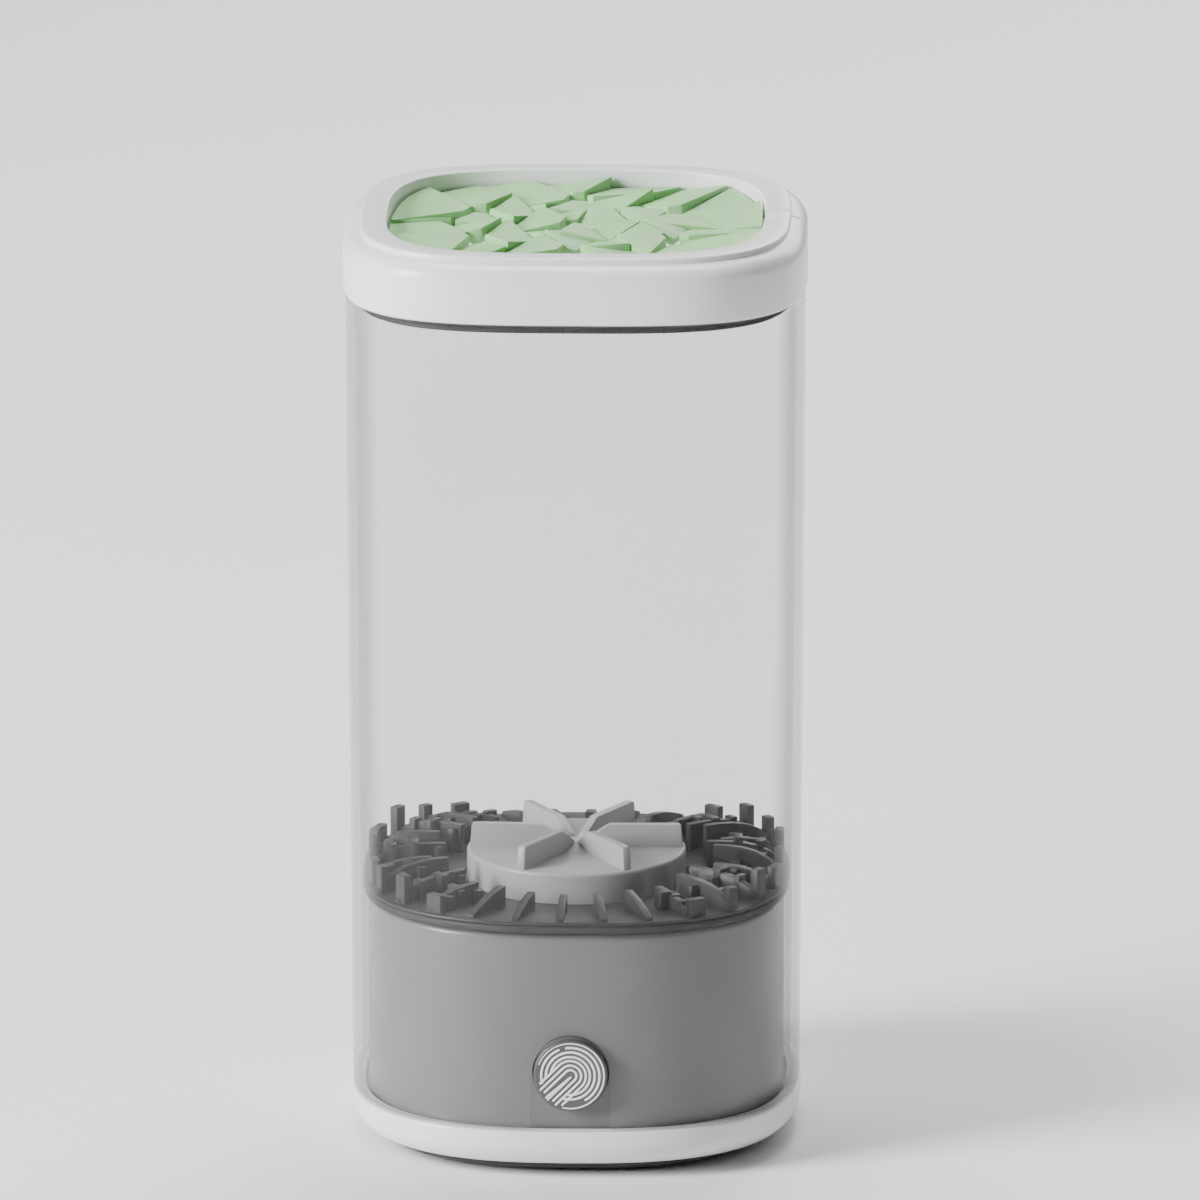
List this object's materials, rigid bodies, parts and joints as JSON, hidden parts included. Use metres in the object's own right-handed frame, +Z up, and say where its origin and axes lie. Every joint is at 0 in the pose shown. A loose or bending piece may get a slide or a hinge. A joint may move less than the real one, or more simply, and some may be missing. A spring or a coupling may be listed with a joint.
{
  "type": "brush cleaner",
  "caption": "Squarish electric brush cleaner: a clear wash tank on a motor base, with a spinning scrub disc in a finned bowl and a lid with a silicone brush holder.",
  "frame": {"origin": "centre of the underside, on the surface the feet stand on", "axes": "+Z up along the motor shaft, -Y towards the button, +X to the right seen from the button's side"},
  "size_m": [0.086, 0.086, 0.175],
  "materials": {
    "white_shell": "satin white",
    "grey_shell": "satin grey",
    "clear_tank": "clear, polished",
    "green_silicone": "matte light green",
    "dark_silicone": "matte dark grey",
    "scrub_disc": "satin light grey",
    "button_cap": "satin grey",
    "rubber": "matte black",
    "steel": "plain",
    "circuit_board": "solder mask green",
    "battery_wrap": "shrink film",
    "copper_winding": "enamelled wire",
    "black_plastic": "moulded black"
  },
  "bodies": {
    "base": {"base_shell": "white_shell", "bottom_plate": "black_plastic", "foot_front_left": "rubber", "foot_front_right": "rubber", "foot_rear_left": "rubber", "foot_rear_right": "rubber", "case_screw_front_left": "steel", "case_screw_front_right": "steel", "case_screw_rear_left": "steel", "case_screw_rear_right": "steel", "motor_housing": "grey_shell", "charge_board": "circuit_board", "charge_socket": "steel", "charge_tongue": "black_plastic", "control_board": "circuit_board", "tact_switch": "black_plastic", "battery_pack": "battery_wrap", "motor_can": "steel", "motor_endcap": "black_plastic", "motor_magnet_left": "dark_silicone", "motor_magnet_right": "dark_silicone", "motor_bracket": "white_shell", "bracket_screw_left": "steel", "bracket_screw_right": "steel", "shaft_seal": "rubber", "tank_seal": "rubber"},
    "rotor": {"motor_shaft": "steel", "motor_armature": "copper_winding"},
    "disc": {"scrub_disc": "scrub_disc"},
    "bowl": {"scrub_bowl": "dark_silicone"},
    "tank": {"wash_tank": "clear_tank"},
    "lid": {"lid_frame": "white_shell", "lid_seal": "rubber"},
    "holder": {"brush_holder": "green_silicone"},
    "button": {"touch_button": "button_cap"}
  },
  "joints": [
    {"name": "shaft_spin", "type": "hinge", "parent": "base", "child": "rotor", "pos_m": [0, 0, 0.03], "axis": [0, 0, 1], "continuous": true},
    {"name": "disc_lift", "type": "slide", "parent": "rotor", "child": "disc", "axis": [0, 0, 1], "range_m": [0, 0.02]},
    {"name": "bowl_lift", "type": "slide", "parent": "base", "child": "bowl", "axis": [0, 0, 1], "range_m": [0, 0.03]},
    {"name": "tank_lift", "type": "slide", "parent": "base", "child": "tank", "axis": [0, 0, 1], "range_m": [0, 0.06]},
    {"name": "lid_lift", "type": "slide", "parent": "tank", "child": "lid", "axis": [0, 0, 1], "range_m": [0, 0.04]},
    {"name": "holder_lift", "type": "slide", "parent": "lid", "child": "holder", "axis": [0, 0, 1], "range_m": [0, 0.03]},
    {"name": "key_press", "type": "slide", "parent": "base", "child": "button", "axis": [0, 1, 0], "range_m": [0, 0.0008], "stiffness_N_per_m": 1500, "springref_m": -0.0002}
  ]
}
